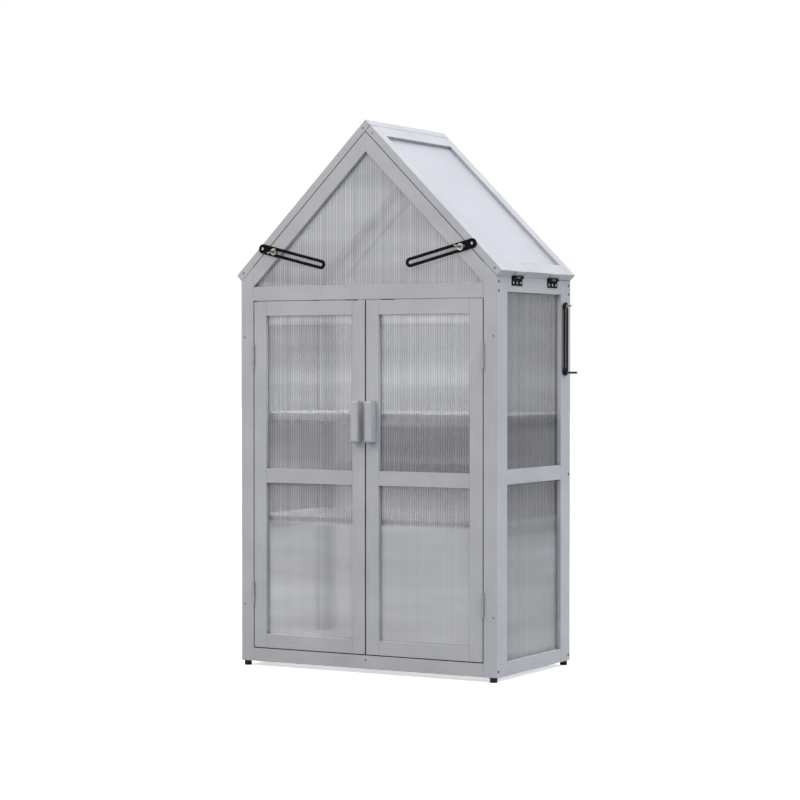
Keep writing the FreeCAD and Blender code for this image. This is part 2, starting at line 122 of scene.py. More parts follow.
# %% [markdown]
# Tones are layered by multiplying: a colour ramp turns a pattern into greys near 1, and these darken or lighten the
# colour below them.

# %% Patterns and tones
WHITE = (1.0, 1.0, 1.0)


def noise(tree, vector, scale, detail=3.0):
    made = add(tree, "ShaderNodeTexNoise", {"Vector": vector}, Scale=scale, Detail=detail)
    return made.outputs["Fac"]


def ramp(tree, factor, low, high, colors):
    made = add(tree, "ShaderNodeValToRGB", {"Fac": factor})
    for element, place, color in zip(made.color_ramp.elements, (low, high), colors):
        element.position = place
        element.color = (*color, 1.0)
    return made.outputs["Color"]


def multiply(tree, first, second):
    """Multiplies two colours."""
    mix = tree.nodes.new("ShaderNodeMix")
    mix.data_type = "RGBA"
    mix.blend_type = "MULTIPLY"
    mix.inputs["Factor"].default_value = 1.0
    tree.links.new(first, mix.inputs["A"])
    tree.links.new(second, mix.inputs["B"])
    return mix.outputs["Result"]


def shades(color, low, high):
    return [tuple(c * k for c in color) for k in (low, high)]


def shade(tree, color, mask, low, high, first, last):
    """Multiplies a colour by first where the mask is low and by last where it is high."""
    return multiply(tree, color, ramp(tree, mask, low, high, shades(WHITE, first, last)))


print("tone helpers ready")

# %% [markdown]
# ## Painted softwood
# The boards are planed softwood under a grey satin coat. Three things show: faint ridges along the grain, a coat that
# is a little uneven, and eased arrises with a thin dark line of painted shade where a rail butts against a stile. A
# photographed texture would stretch differently on every board, so the grain is a noise squeezed across the board and
# drawn out along it. The rafters of a gable share one paint, so there the left half is laid on the right half first.

# %% Grain
PAINT = (0.428, 0.428, 0.438)
GRAIN = (7, 260, 260)


def mirrored_spot(tree):
    """Object coordinates with the left half laid on the right half."""
    parts = add(tree, "ShaderNodeSeparateXYZ", {"Vector": spot(tree)}).outputs
    flip = calc(tree, "ABSOLUTE", parts["X"])
    return add(tree, "ShaderNodeCombineXYZ", {"X": flip, "Y": parts["Y"], "Z": parts["Z"]}).outputs["Vector"]


def grain_vector(tree, along, mirrored):
    """Object coordinates turned so that X runs along the board, then drawn out along it."""
    source = mirrored_spot(tree) if mirrored else spot(tree)
    turn = Vector(along).rotation_difference(Vector((1, 0, 0))).to_euler()
    turned = add(tree, "ShaderNodeMapping", {"Vector": source}, Rotation=turn)
    drawn = add(tree, "ShaderNodeMapping", {"Vector": turned.outputs["Vector"]}, Scale=GRAIN)
    return drawn.outputs["Vector"]


print("grain ready")

# %% [markdown]
# The Bevel node rounds the shading of the arrises, so at a sawn end the rounded normal leans along the board and the
# plain one doesn't. Their difference is the joint line; there the paint is darkened as painted shade. The roof leaves
# lie on the rafters with a gap in shadow. Both faces are flush, so that shadow is a painted line in the rafters'
# paint, along the plane that the leaves lie on.

# %% Joint lines
diagonal = math.sqrt(0.5)
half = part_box("front_post_right")[1][0]
EAVE = 1.035
SEAT_GAP = 0.003


def joint_shade(tree, along, rounded):
    """1 just inside the sawn ends of a board, where its arris is eased, and 0 elsewhere."""
    eased, plain = (calc(tree, "ABSOLUTE", dot(tree, normal, along)) for normal in (rounded, normal_of(tree)))
    return calc(tree, "SUBTRACT", eased, plain)


def seat_shadow(tree):
    """1 where the roof leaves lie on the upper edge of the rafters' front and back faces: a painted shadow line."""
    seat = (half + EAVE) * diagonal
    near = rescale(tree, dot(tree, mirrored_spot(tree), (diagonal, 0, diagonal)), seat - SEAT_GAP, seat)
    facing = calc(tree, "ABSOLUTE", part_of(tree, normal_of(tree), "Y"))
    return calc(tree, "MULTIPLY", near, facing)


print("joint lines ready, eaves at", EAVE, "m")

# %% [markdown]
# One paint is made for each direction that boards run in. Where boards meet and in the gaps round the doors, the paint
# is darkened as painted shade. Painting it by hand would take a mask for every board, so the Ambient Occlusion node
# finds the places that a finger can't reach. The upward faces of the shelf slats get a paler tone, which is painted
# light from above.

# %% One paint
TOP_LIGHT = (1.8, 1.8, 1.78)
ARRIS = 0.0019
SHADE_REACH = 0.012


def painted_wood(name, along, mirrored=False, lit_top=False, ends=0.42):
    mat, tree, shader = new_finish(name, PAINT, 0.5)
    shader.inputs["Specular IOR Level"].default_value = 0.35
    grain = noise(tree, grain_vector(tree, along, mirrored), 1.0, 5.0)
    color = ramp(tree, noise(tree, spot(tree), 9.0, 2.0), 0.3, 0.7, shades(PAINT, 0.94, 1.06))
    if lit_top:
        # the upward faces are lighter: painted light from above
        upward = part_of(tree, normal_of(tree), "Z")
        color = multiply(tree, color, ramp(tree, upward, 0.4, 0.9, [WHITE, TOP_LIGHT]))
    color = shade(tree, color, grain, 0.35, 0.65, 0.95, 1.0)
    rounded = add(tree, "ShaderNodeBevel", Radius=ARRIS).outputs["Normal"]
    if mirrored:
        # a dark line where the leaves lie on the rafters: painted shadow of the gap
        color = shade(tree, color, seat_shadow(tree), 0.2, 0.4, 1.0, 0.05)
    else:
        # a dark line at the sawn ends: painted shade of the joints
        color = shade(tree, color, joint_shade(tree, along, rounded), 0.05, 0.45, 1.0, ends)
    # darker where boards meet and in the gaps: painted shade found by the Ambient Occlusion node
    reach = add(tree, "ShaderNodeAmbientOcclusion", Distance=SHADE_REACH)
    reach.samples = 6
    color = shade(tree, color, reach.outputs["AO"], 0.08, 0.58, 0.05, 1.0)
    tree.links.new(color, shader.inputs["Base Color"])
    tree.links.new(rescale(tree, grain, 0.0, 1.0, 0.42, 0.6), shader.inputs["Roughness"])
    relief = add(tree, "ShaderNodeBump", {"Height": grain, "Normal": rounded}, Strength=0.25, Distance=0.0006)
    tree.links.new(relief.outputs["Normal"], shader.inputs["Normal"])
    return mat


print("paint maker ready")

# %% Paints
paint = {
    "upright": painted_wood("paint_upright", (0, 0, 1)),
    "across": painted_wood("paint_across", (1, 0, 0)),
    "deep": painted_wood("paint_deep", (0, 1, 0)),
    "left_slope": painted_wood("paint_left_slope", (diagonal, 0, diagonal), ends=0.2),
    "right_slope": painted_wood("paint_right_slope", (-diagonal, 0, diagonal), ends=0.2),
    "gable": painted_wood("paint_gable", (-diagonal, 0, diagonal), mirrored=True),
    # the slats' paint carries painted light on its upward faces
    "slats": painted_wood("paint_slats", (1, 0, 0), lit_top=True),
}
print("paints:", ", ".join(paint))

# %% [markdown]
# ## Metal, rubber and plastic
# Stays and hinges are steel with a matt black coat that has a fine orange peel. Screws and washers are dull zinc, the
# wing nuts brass gone grey, the bolts dark steel, and the feet rubber. Each could have its own shader, but they differ
# only in numbers, so one helper covers them all: a blotchy tone, a blotchy roughness and a fine bump.

# %% Hardware finishes
def hardware(name, color, roughness, metallic, grain, relief, shine=0.5):
    mat, tree, shader = new_finish(name, color, roughness, metallic)
    shader.inputs["Specular IOR Level"].default_value = shine
    blotch = noise(tree, spot(tree), 70.0, 2.0)
    tree.links.new(ramp(tree, blotch, 0.3, 0.7, shades(color, 0.82, 1.15)), shader.inputs["Base Color"])
    rough = rescale(tree, blotch, 0.0, 1.0, roughness * 0.8, roughness * 1.25)
    tree.links.new(rough, shader.inputs["Roughness"])
    rounded = add(tree, "ShaderNodeBevel", Radius=0.0005).outputs["Normal"]
    fine = noise(tree, spot(tree), grain, 3.0)
    bump = add(tree, "ShaderNodeBump", {"Height": fine, "Normal": rounded}, Strength=relief, Distance=0.0002)
    tree.links.new(bump.outputs["Normal"], shader.inputs["Normal"])
    return mat


black_steel = hardware("black_steel", (0.007, 0.007, 0.008), 0.55, 0.0, 1400.0, 0.2, 0.02)
grey_steel = hardware("grey_steel", (0.33, 0.335, 0.345), 0.45, 0.0, 1400.0, 0.2)
overpainted = hardware("overpainted_steel", (0.36, 0.365, 0.37), 0.45, 0.0, 900.0, 0.3)
zinc = hardware("zinc", (0.42, 0.425, 0.43), 0.35, 1.0, 2200.0, 0.1)
dark_steel = hardware("dark_steel", (0.09, 0.09, 0.095), 0.45, 0.8, 1800.0, 0.1)
dark_screw = hardware("dark_screw", (0.05, 0.05, 0.052), 0.5, 0.3, 1800.0, 0.1, 0.2)
painted_screw = hardware("painted_screw", (0.34, 0.34, 0.348), 0.45, 0.0, 900.0, 0.3)
# nearly black: painted shade inside the cross recesses of the screw heads
recess = hardware("screw_recess_shade", (0.012, 0.012, 0.012), 0.7, 0.0, 1800.0, 0.1, 0.1)
brass = hardware("pale_brass", (0.40, 0.37, 0.27), 0.32, 1.0, 2200.0, 0.1)
rubber = hardware("rubber", (0.012, 0.012, 0.013), 0.7, 0.0, 900.0, 0.4, 0.2)
catch_plastic = hardware("catch_plastic", (0.7, 0.7, 0.69), 0.4, 0.0, 900.0, 0.1)
print("hardware finishes made")

# %% [markdown]
# ## Which node takes which finish
# The upper plates of the roof hinges were painted over with the leaf, but their knuckles stayed black. That is one
# piece of steel, so a step in height divides its two finishes.

# %% Part-painted hinges
KNUCKLE_TOP = 1.0405
PAINT_EDGE = 0.0003


def part_painted(tree, color):
    """Black below the top of the knuckles, the given colour above."""
    above = rescale(tree, part_of(tree, spot(tree), "Z"), KNUCKLE_TOP - PAINT_EDGE, KNUCKLE_TOP)
    return shade(tree, color, above, 0.0, 1.0, 0.03, 1.0)


tree = overpainted.node_tree
base = tree.nodes["Principled BSDF"].inputs["Base Color"]
tree.links.new(part_painted(tree, base.links[0].from_socket), base)
print("hinge paint starts at", KNUCKLE_TOP, "m")

# %% [markdown]
# Boards take the paint of their own direction. A node that holds several boards has them all running the same way, so
# one table of directions is enough. The hardware follows in a second table.

# %% Dress the nodes
by_direction = {
    "upright": "front_post_left front_post_right back_post_left back_post_right left_side_stiles right_side_stiles "
               "left_door_stiles right_door_stiles left_door_handle right_door_handle",
    "across": "front_rails back_rails left_door_rails right_door_rails floor_slats",
    "slats": "upper_shelf_slats lower_shelf_slats",
    "deep": "left_side_rails right_side_rails shelf_cleats floor_bearers left_roof_rails right_roof_rails",
    "left_slope": "left_roof_stiles",
    "right_slope": "right_roof_stiles",
    "gable": "front_rafters back_rafters",
}
looks = {name: paint[way] for way, names in by_direction.items() for name in names.split()}
looks.update({"door_hinge_frame_leaves": grey_steel, "roof_hinge_frame_leaves": black_steel,
              "stay_bolts": dark_steel, "door_catches": catch_plastic})
for side in ("left_", "right_"):
    looks.update({side + "door_hinge_leaves": grey_steel, side + "roof_hinge_leaves": overpainted,
                  side + "front_stay": black_steel, side + "side_stay": black_steel, side + "stay_washer": zinc,
                  side + "side_loose_bolt": dark_steel, side + "door_strike": zinc,
                  side + "front_wing_nut": brass, side + "side_wing_nut": brass})
for name, mat in looks.items():
    mesh = nodes[name].data
    mesh.materials.clear()
    mesh.materials.append(mat)
print("nodes dressed:", len(looks))

# %% [markdown]
# ## Clear sheet
# Twin-wall sheet is two thin skins with upright webs between them. Straight through it we see a dimmed picture, and
# the rest of the light is scattered, so it looks milky. Real refraction through hundreds of webs would be slow and
# noisy. Each surface is a film instead: part Transparent, part scattering, with a density that changes from flute to
# flute. Three patterns make the fine upright lines: a wave as wide as one flute, a noise that makes no two flutes
# alike, and a broader one that makes bands.

# %% Flutes
WEB_PITCH = 0.007


def only_across(tree, across):
    """Object coordinates that change only across the flutes."""
    keep = [0.0, 0.0, 0.0]
    keep["xy".index(across)] = 1.0
    return add(tree, "ShaderNodeMapping", {"Vector": spot(tree)}, Scale=keep).outputs["Vector"]


def flutes(tree, across):
    """Upright lines from 0 to 1, one flute wide, of uneven strength."""
    vector = only_across(tree, across)
    wave = add(tree, "ShaderNodeTexWave", {"Vector": vector}, Scale=math.pi / (10 * WEB_PITCH), Distortion=0.6,
               Detail=1.0)
    wave.bands_direction = across.upper()
    lines = wave.outputs["Fac"]
    for scale, weight in ((1 / WEB_PITCH, 0.6), (0.3 / WEB_PITCH, 0.4)):
        uneven = rescale(tree, noise(tree, vector, scale, 0.0), 0.3, 0.7)
        lines = calc(tree, "MULTIPLY_ADD", uneven, weight, lines)
    return calc(tree, "MULTIPLY", lines, 0.5)


print("flutes", WEB_PITCH * 1000, "mm wide")

# %% [markdown]
# Between the shelves the sheets are darker and milkier as painted shade of the upper shelf, more so on the right. Low
# down they are smooth and lightened as painted light, with painted shade at the foot. All this follows the height, so
# ramps on the Z coordinate are enough: a list of heights and tones draws the painted light of the lower part, a band
# of painted light higher up and the painted highlight of the strip under a top rail.

# %% Tones by height
def step_at(tree, start, full, low=0.0, high=1.0):
    """Goes from low to high between two heights."""
    return rescale(tree, part_of(tree, spot(tree), "Z"), start, full, low, high)


def dull_zone(tree, start, full, fade, end):
    """Rises from 0 to 1 between the first two heights and falls back to 0 between the last two: the band of painted
    shade.
    """
    return calc(tree, "MULTIPLY", step_at(tree, start, full), step_at(tree, end, fade))


def by_height(tree, stops):
    """A grey that follows the height, from pairs of height and brightness: painted light and shade by height."""
    made = add(tree, "ShaderNodeValToRGB", {"Fac": part_of(tree, spot(tree), "Z")})
    elements = made.color_ramp.elements
    for element, level in ((elements[0], stops[0][1]), (elements[1], stops[-1][1])):
        element.color = (level, level, level, 1.0)
    for height, level in stops:
        elements.new(height).color = (level, level, level, 1.0)
    return made.outputs["Color"]


print("heights ready")

# %% [markdown]
# Damp also leaves broad level bands, which are a noise drawn out sideways. The doors meet in the middle, so a short
# step on the X coordinate tells left from right.

# %% Bands and sides
BAND_SCALE = {"x": (1.5, 0.0, 11.0), "y": (0.0, 1.5, 11.0)}
MIDDLE = 0.05
CALM = 0.2


def sideways(tree, left, right):
    """Goes from one value on the left to another on the right."""
    return rescale(tree, part_of(tree, spot(tree), "X"), -MIDDLE, MIDDLE, left, right)


def clouds(tree, across):
    """Broad level bands from 0 to 1."""
    vector = add(tree, "ShaderNodeMapping", {"Vector": spot(tree)}, Scale=BAND_SCALE[across]).outputs["Vector"]
    return noise(tree, vector, 1.0, 2.0)


def calmed(tree, lines, start, full):
    """Weakens the lines below a height."""
    centred = calc(tree, "SUBTRACT", lines, 0.5)
    return calc(tree, "MULTIPLY_ADD", centred, step_at(tree, start, full, CALM, 1.0), 0.5)


print("bands ready")

# %% [markdown]
# A film mixes the clear part and the milky part by its cover. The milky part scatters light back with the Principled
# shader and lets some through with Translucent. Most of the daylight gets in, so lamps pass a film with a slight loss.

# %% Films
SHELF_SHADE_COVER = 0.14
DAYLIGHT = (0.975, 0.975, 0.975, 1.0)


def mix_shaders(tree, factor, first, second):
    return add(tree, "ShaderNodeMixShader", {0: factor, 1: first.outputs[0], 2: second.outputs[0]})


def film(name, color, cover, spread, across, forward, tones, zone=None, dull=0.0, lean=(1.0, 1.0), smooth=None,
         heights=None, cloudy=0.13):
    mat, tree, shader = new_finish(name, color, 0.25)
    lines = flutes(tree, across)
    if smooth:
        lines = calmed(tree, lines, *smooth)
    tone = ramp(tree, lines, 0.0, 1.0, shades(color, *tones))
    tone = shade(tree, tone, clouds(tree, across), 0.35, 0.65, 1.0 - cloudy, 1.0 + cloudy)
    # painted light and shade that follow the height
    if heights:
        tone = multiply(tree, tone, by_height(tree, heights))
    share = rescale(tree, lines, 0.0, 1.0, cover - spread, cover + spread)
    if zone:
        # painted shade under the upper shelf, darker on the right, with a milkier film there
        shade_band = dull_zone(tree, *zone)
        darker = calc(tree, "MULTIPLY", shade_band, sideways(tree, *lean))
        tone = shade(tree, tone, darker, 0.0, 1.0, 1.0, 1.0 - dull)
        share = calc(tree, "MULTIPLY_ADD", shade_band, SHELF_SHADE_COVER, share)
    tree.links.new(tone, shader.inputs["Base Color"])
    milk = mix_shaders(tree, forward, shader, add(tree, "ShaderNodeBsdfTranslucent", {"Color": tone}))
    body = mix_shaders(tree, share, tree.nodes.new("ShaderNodeBsdfTransparent"), milk)
    path = tree.nodes.new("ShaderNodeLightPath").outputs
    light = calc(tree, "MAXIMUM", path["Is Shadow Ray"], path["Is Diffuse Ray"])
    whole = mix_shaders(tree, light, body, add(tree, "ShaderNodeBsdfTransparent", Color=DAYLIGHT))
    tree.links.new(whole.outputs["Shader"], tree.nodes["Material Output"].inputs["Surface"])
    return mat


print("film maker ready")

# %% [markdown]
# All sheets are the same stock. One skin of a sheet carries nearly all of the film: two films would look the same and
# need twice the samples. The webs between the skins are denser, and the inner skin is almost clear.

# %% Films of one sheet
WEB_COVER, WEB_SPREAD, WEB_FORWARD = 0.7, 0.2, 0.5
INNER_COVER = 0.06


def sheet_films(name, across, color, cover, spread, forward, tones, **zones):
    skin = film(name + "_skin", color, cover, spread, across, forward, tones, **zones)
    web = film(name + "_web", color, WEB_COVER, WEB_SPREAD, across, WEB_FORWARD, tones, **zones)
    inner = film(name + "_inner", color, INNER_COVER, 0.0, across, forward, tones)
    return skin, web, inner


print("skin, web and inner films ready")

# %% [markdown]
# The flutes run along X on front and back, and along Y on the sides and the roof. The back stands to the weather, so
# its sheets are duller. The side sheets have a darker milk, which is painted shade, and the roof sheets a lighter,
# bluer milk with almost no lines, which is painted light and a painted reflection of the sky. The gable has one even
# film, without painted light or shade by height. Where the end of a shelf touches a side sheet, a pale line of painted
# light is drawn on the sheet.

# %% Sheet films
MILK = (0.435, 0.437, 0.442)
# the side milk is darker as painted shade, the roof milk lighter and bluer as painted light and painted reflection of
# the sky
SIDE_SHADED_MILK = (0.222, 0.224, 0.228)
ROOF_LIT_MILK = (0.555, 0.56, 0.60)
# heights of the painted shade under the upper shelf on the front and side sheets
FRONT_SHELF_SHADE = (0.40, 0.58, 0.646, 0.656)
SIDE_SHELF_SHADE = (0.400, 0.410, 0.669, 0.681)
# painted light low on the sheets with painted shade at the foot, a band of painted light, a painted highlight under
# the top rail, and a pale line of painted light at a shelf end
FRONT_LOWER_LIGHT_AND_SHADE = ((0.115, 1.37), (0.145, 1.60), (0.320, 1.62), (0.388, 2.0), (0.396, 1.0))
LIGHT_BAND = ((0.755, 1.0), (0.767, 1.16), (0.787, 1.16), (0.820, 1.0))
TOP_HIGHLIGHT = ((0.914, 1.0), (0.918, 1.45), (0.928, 1.85))
SIDE_LOWER_LIGHT = ((0.388, 1.72), (0.415, 1.1), (0.500, 1.1), (0.510, 1.0))
SHELF_END_HIGHLIGHT = ((0.678, 1.0), (0.680, 1.9), (0.682, 1.9), (0.684, 1.0))
films = {
    "front": sheet_films("front_sheet", "x", MILK, 0.50, 0.08, 0.5, (0.62, 1.38), zone=FRONT_SHELF_SHADE, dull=0.40,
                         lean=(0.1, 1.0), smooth=(0.386, 0.396), heights=FRONT_LOWER_LIGHT_AND_SHADE + LIGHT_BAND + TOP_HIGHLIGHT),
    "gable": sheet_films("gable_sheet", "x", MILK, 0.72, 0.16, 0.5, (0.68, 1.32)),
    "back": sheet_films("back_sheet", "x", MILK, 0.80, 0.15, 0.5, (0.8, 1.2)),
    "side": sheet_films("side_sheet", "y", SIDE_SHADED_MILK, 0.60, 0.25, 0.4, (0.3, 1.7), zone=SIDE_SHELF_SHADE, dull=0.32,
                        smooth=(0.38, 0.42), heights=SIDE_LOWER_LIGHT + SHELF_END_HIGHLIGHT),
    "roof": sheet_films("roof_sheet", "y", ROOF_LIT_MILK, 0.90, 0.02, 0.3, (0.98, 1.02), cloudy=0.02),
}
bpy.context.scene.cycles.transparent_max_bounces = 48
print("sheet films:", ", ".join(films))

# %% [markdown]
# ## Sheets with real webs
# The solid model carries its webs at twice the true spacing, so each sheet is made again here. A sheet is a thin
# closed shell with a web every 7 mm. It is made flat with its flutes along Z, then laid where the solid sheet was;
# copies of the solid sheets are merged and measured for that, one box for each separate sheet.

# %% Measure the sheets
def solid_boxes(name):
    """The box of each separate solid in a node."""
    bm = bmesh.new()
    bm.from_mesh(nodes[name].data)
    bmesh.ops.remove_doubles(bm, verts=bm.verts[:], dist=1e-5)
    left = set(bm.verts)
    boxes = []
    while left:
        stack = [left.pop()]
        found = []
        while stack:
            vert = stack.pop()
            found.append(vert.co.copy())
            for edge in vert.link_edges:
                other = edge.other_vert(vert)
                if other in left:
                    left.remove(other)
                    stack.append(other)
        low = Vector([min(c[i] for c in found) for i in range(3)])
        high = Vector([max(c[i] for c in found) for i in range(3)])
        boxes.append((low, high))
    bm.free()
    return boxes


print("back sheets:", len(solid_boxes("back_panels")))

# %% [markdown]
# A shell comes from a cube and the webs from a row of grids. The gable sheets are cut to the roof line with
# bisect_plane before the shell's cut edge is filled.

# %% Cut and join
def trim(bm, point, normal, close):
    everything = bm.verts[:] + bm.edges[:] + bm.faces[:]
    cut = bmesh.ops.bisect_plane(bm, geom=everything, plane_co=point, plane_no=normal, clear_outer=True)
    if close:
        rim = [g for g in cut["geom_cut"] if isinstance(g, bmesh.types.BMEdge)]
        bmesh.ops.contextual_create(bm, geom=rim)


def pour(bm, part, place):
    """Moves a finished part to its place and adds it to a bigger mesh."""
    part.transform(place)
    mesh = bpy.data.meshes.new("part")
    part.to_mesh(mesh)
    part.free()
    bm.from_mesh(mesh)
    bpy.data.meshes.remove(mesh)


print("cutting helpers ready")

# %% Make a sheet
SHEET = 0.004
SKIN = 0.0005


def add_sheet(bm, width, length, place, trims=()):
    shell = bmesh.new()
    bmesh.ops.create_cube(shell, size=1.0, matrix=Matrix.Diagonal((width, SHEET, length, 1.0)))
    inside = bmesh.new()
    flat = Matrix.Rotation(math.radians(90), 4, "Y") @ Matrix.Diagonal((length, SHEET - 2 * SKIN, 1.0, 1.0))
    count = int(width / WEB_PITCH)
    for i in range(count + 1):
        move = Matrix.Translation(((i - count / 2) * WEB_PITCH, 0, 0))
        bmesh.ops.create_grid(inside, x_segments=1, y_segments=1, size=0.5, matrix=move @ flat)
    for point, normal in trims:
        trim(shell, point, normal, True)
        trim(inside, point, normal, False)
    for face in inside.faces:
        face.material_index = 1
    shell.normal_update()
    for face in shell.faces:
        if face.normal.y > 0.5:
            face.material_index = 2
    pour(bm, shell, place)
    pour(bm, inside, place)


print("webs every", WEB_PITCH * 1000, "mm")

# %% [markdown]
# A finished piece is linked to the scene, rides the body of the sheet it stands for and hides that sheet.

# %% Finish a piece
def finish_piece(name, bm, body, finishes, replaced=None):
    mesh = bpy.data.meshes.new(name)
    bm.to_mesh(mesh)
    bm.free()
    for mat in finishes:
        mesh.materials.append(mat)
    obj = bpy.data.objects.new(name, mesh)
    bpy.context.collection.objects.link(obj)
    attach(obj, body)
    if replaced:
        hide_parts(replaced)
    print("made", name, "with", len(mesh.polygons), "faces")


def wall_sheets(name, node, body, facing):
    bm = bmesh.new()
    turn = Matrix.Rotation(math.radians(90 if facing == "side" else 0), 4, "Z")
    for low, high in solid_boxes(node):
        size = high - low
        width = size.y if facing == "side" else size.x
        add_sheet(bm, width, size.z, Matrix.Translation((low + high) / 2) @ turn)
    finish_piece(name, bm, body, films[facing], node)


wall_sheets("back_wall_sheets", "back_panels", "frame", "back")
for side in ("left", "right"):
    wall_sheets(side + "_door_sheets", side + "_door_panels", side + "_door", "front")
    wall_sheets(side + "_wall_sheets", side + "_side_panels", "frame", "side")

# %% [markdown]
# ## Gable and roof sheets
# The gable sheets are trimmed by two planes through their peak.

# %% Gable sheets
for end, facing in (("front", "gable"), ("back", "back")):
    low, high = solid_boxes(end + "_gable_panel")[0]
    size = high - low
    peak = Vector((0, 0, size.z / 2))
    cuts = [(peak, Vector((way * diagonal, 0, diagonal))) for way in (-1, 1)]
    bm = bmesh.new()
    add_sheet(bm, size.x, size.z, Matrix.Translation((low + high) / 2), cuts)
    finish_piece(end + "_gable_sheet", bm, "frame", films[facing], end + "_gable_panel")

# %% [markdown]
# On the roof the flutes run down the slope so that water drains, so those sheets are turned with their Z up the slope.
# They lie a little nearer to the upper face than the solid ones, because the recess that shows is shallow.

# %% Roof sheets
ROOF_RAISE = 0.003
for side, way in (("left", 1), ("right", -1)):
    low, high = solid_boxes(side + "_roof_panel")[0]
    size = high - low
    up = Vector((way * diagonal, 0, diagonal))
    out = Vector((-way * diagonal, 0, diagonal))
    across = Vector((0, 1, 0))
    turn = Matrix((across, up.cross(across), up)).transposed().to_4x4()
    bm = bmesh.new()
    add_sheet(bm, size.y, size.x / diagonal - SHEET, Matrix.Translation((low + high) / 2 + out * ROOF_RAISE) @ turn)
    finish_piece(side + "_roof_sheet", bm, side + "_roof_leaf", films["roof"],
                 side + "_roof_panel")

# %% [markdown]
# ## Feet
# The rubber feet are turned pieces with a groove round the middle. A turned piece is a profile spun about its axis, so
# a few points are joined and swept with the spin operator.

# %% Turn the feet
def turned(profile, steps=32):
    """A closed turned solid from points given as radius and height."""
    bm = bmesh.new()
    points = [bm.verts.new((r, 0, z)) for r, z in profile]
    edges = [bm.edges.new(pair) for pair in zip(points, points[1:])]
    bmesh.ops.spin(bm, geom=points + edges, cent=(0, 0, 0), axis=(0, 0, 1), angle=2 * math.pi, steps=steps,
                   use_merge=True)
    bmesh.ops.remove_doubles(bm, verts=bm.verts[:], dist=1e-6)
    bmesh.ops.recalc_face_normals(bm, faces=bm.faces[:])
    return bm


FOOT = [(0, 0), (0.0092, 0), (0.0100, 0.0010), (0.0100, 0.0052), (0.0091, 0.0060), (0.0091, 0.0072),
        (0.0100, 0.0080), (0.0100, 0.0130), (0, 0.0130)]
bm = bmesh.new()
for low, high in solid_boxes("feet"):
    pour(bm, turned(FOOT), Matrix.Translation(((low.x + high.x) / 2, (low.y + high.y) / 2, 0)))
finish_piece("rubber_feet", bm, "frame", [rubber], "feet")

# %% [markdown]
# ## Screws
# The frames are screwed together. A head is a low turned dome, and its cross recess is two thin dark bars let into the
# top, whose dark colour is painted shade of the recess: at this size a cut recess would cost many faces and show no
# more. No two screws stop at the same angle.

# %% Make a screw
def add_screw(bm, point, out, radius, rise, spin):
    head = turned([(0, rise), (radius * 0.55, rise * 0.95), (radius * 0.88, rise * 0.6), (radius, 0), (0, 0)], 20)
    for angle in (0, math.pi / 2):
        bar = bmesh.new()
        size = Matrix.Diagonal((radius * 1.15, radius * 0.26, rise * 0.2, 1.0))
        bmesh.ops.create_cube(bar, size=1.0, matrix=Matrix.Rotation(angle, 4, "Z") @ size)
        for face in bar.faces:
            face.material_index = 1
        pour(head, bar, Matrix.Translation((0, 0, rise * 0.94)))
    lay = Vector(out).to_track_quat("Z", "Y").to_matrix().to_4x4()
    pour(bm, head, Matrix.Translation(Vector(point)) @ lay @ Matrix.Rotation(spin, 4, "Z"))


def screws(name, body, places, finish, radius=0.0038, rise=0.0009):
    bm = bmesh.new()
    for i, (point, out) in enumerate(places):
        add_screw(bm, point, out, radius, rise, 0.4 + 0.9 * i)
    finish_piece(name, bm, body, [finish, recess])


print("screw maker ready")

# %% [markdown]
# Posts are screwed to the rails from the front, the back and the side, 10 mm from the edge of the board. The heads on
# front and back were painted with the boards, those on the sides were left dark.

# %% Frame screws
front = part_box("front_post_right")[0][1]
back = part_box("back_post_right")[1][1]
EDGE = 0.010
RAIL_SCREW = 0.036
POST_SCREWS = (0.166, 0.883)
SIDE_SCREWS = (0.028, 0.998, 1.021)
MIDDLE_SCREW = 0.515
facing_side = []
facing_ends = [((0, front, RAIL_SCREW), (0, -1, 0)), ((0, back, RAIL_SCREW), (0, 1, 0))]
for way in (-1, 1):
    for z in POST_SCREWS:
        facing_ends.append(((way * (half - EDGE), front, z), (0, -1, 0)))
        facing_ends.append(((way * (half - EDGE), back, z), (0, 1, 0)))
    for y in (front + EDGE, back - EDGE):
        for z in SIDE_SCREWS:
            facing_side.append(((way * half, y, z), (way, 0, 0)))
    facing_side.append(((way * half, back - EDGE, MIDDLE_SCREW), (way, 0, 0)))
screws("side_screws", "frame", facing_side, dark_screw)
screws("frame_screws", "frame", facing_ends, painted_screw)

# %% [markdown]
# Each roof hinge has three screws in each plate. The leaves have screws through the ends of their edge boards, and
# each front stay turns on a bright screw.

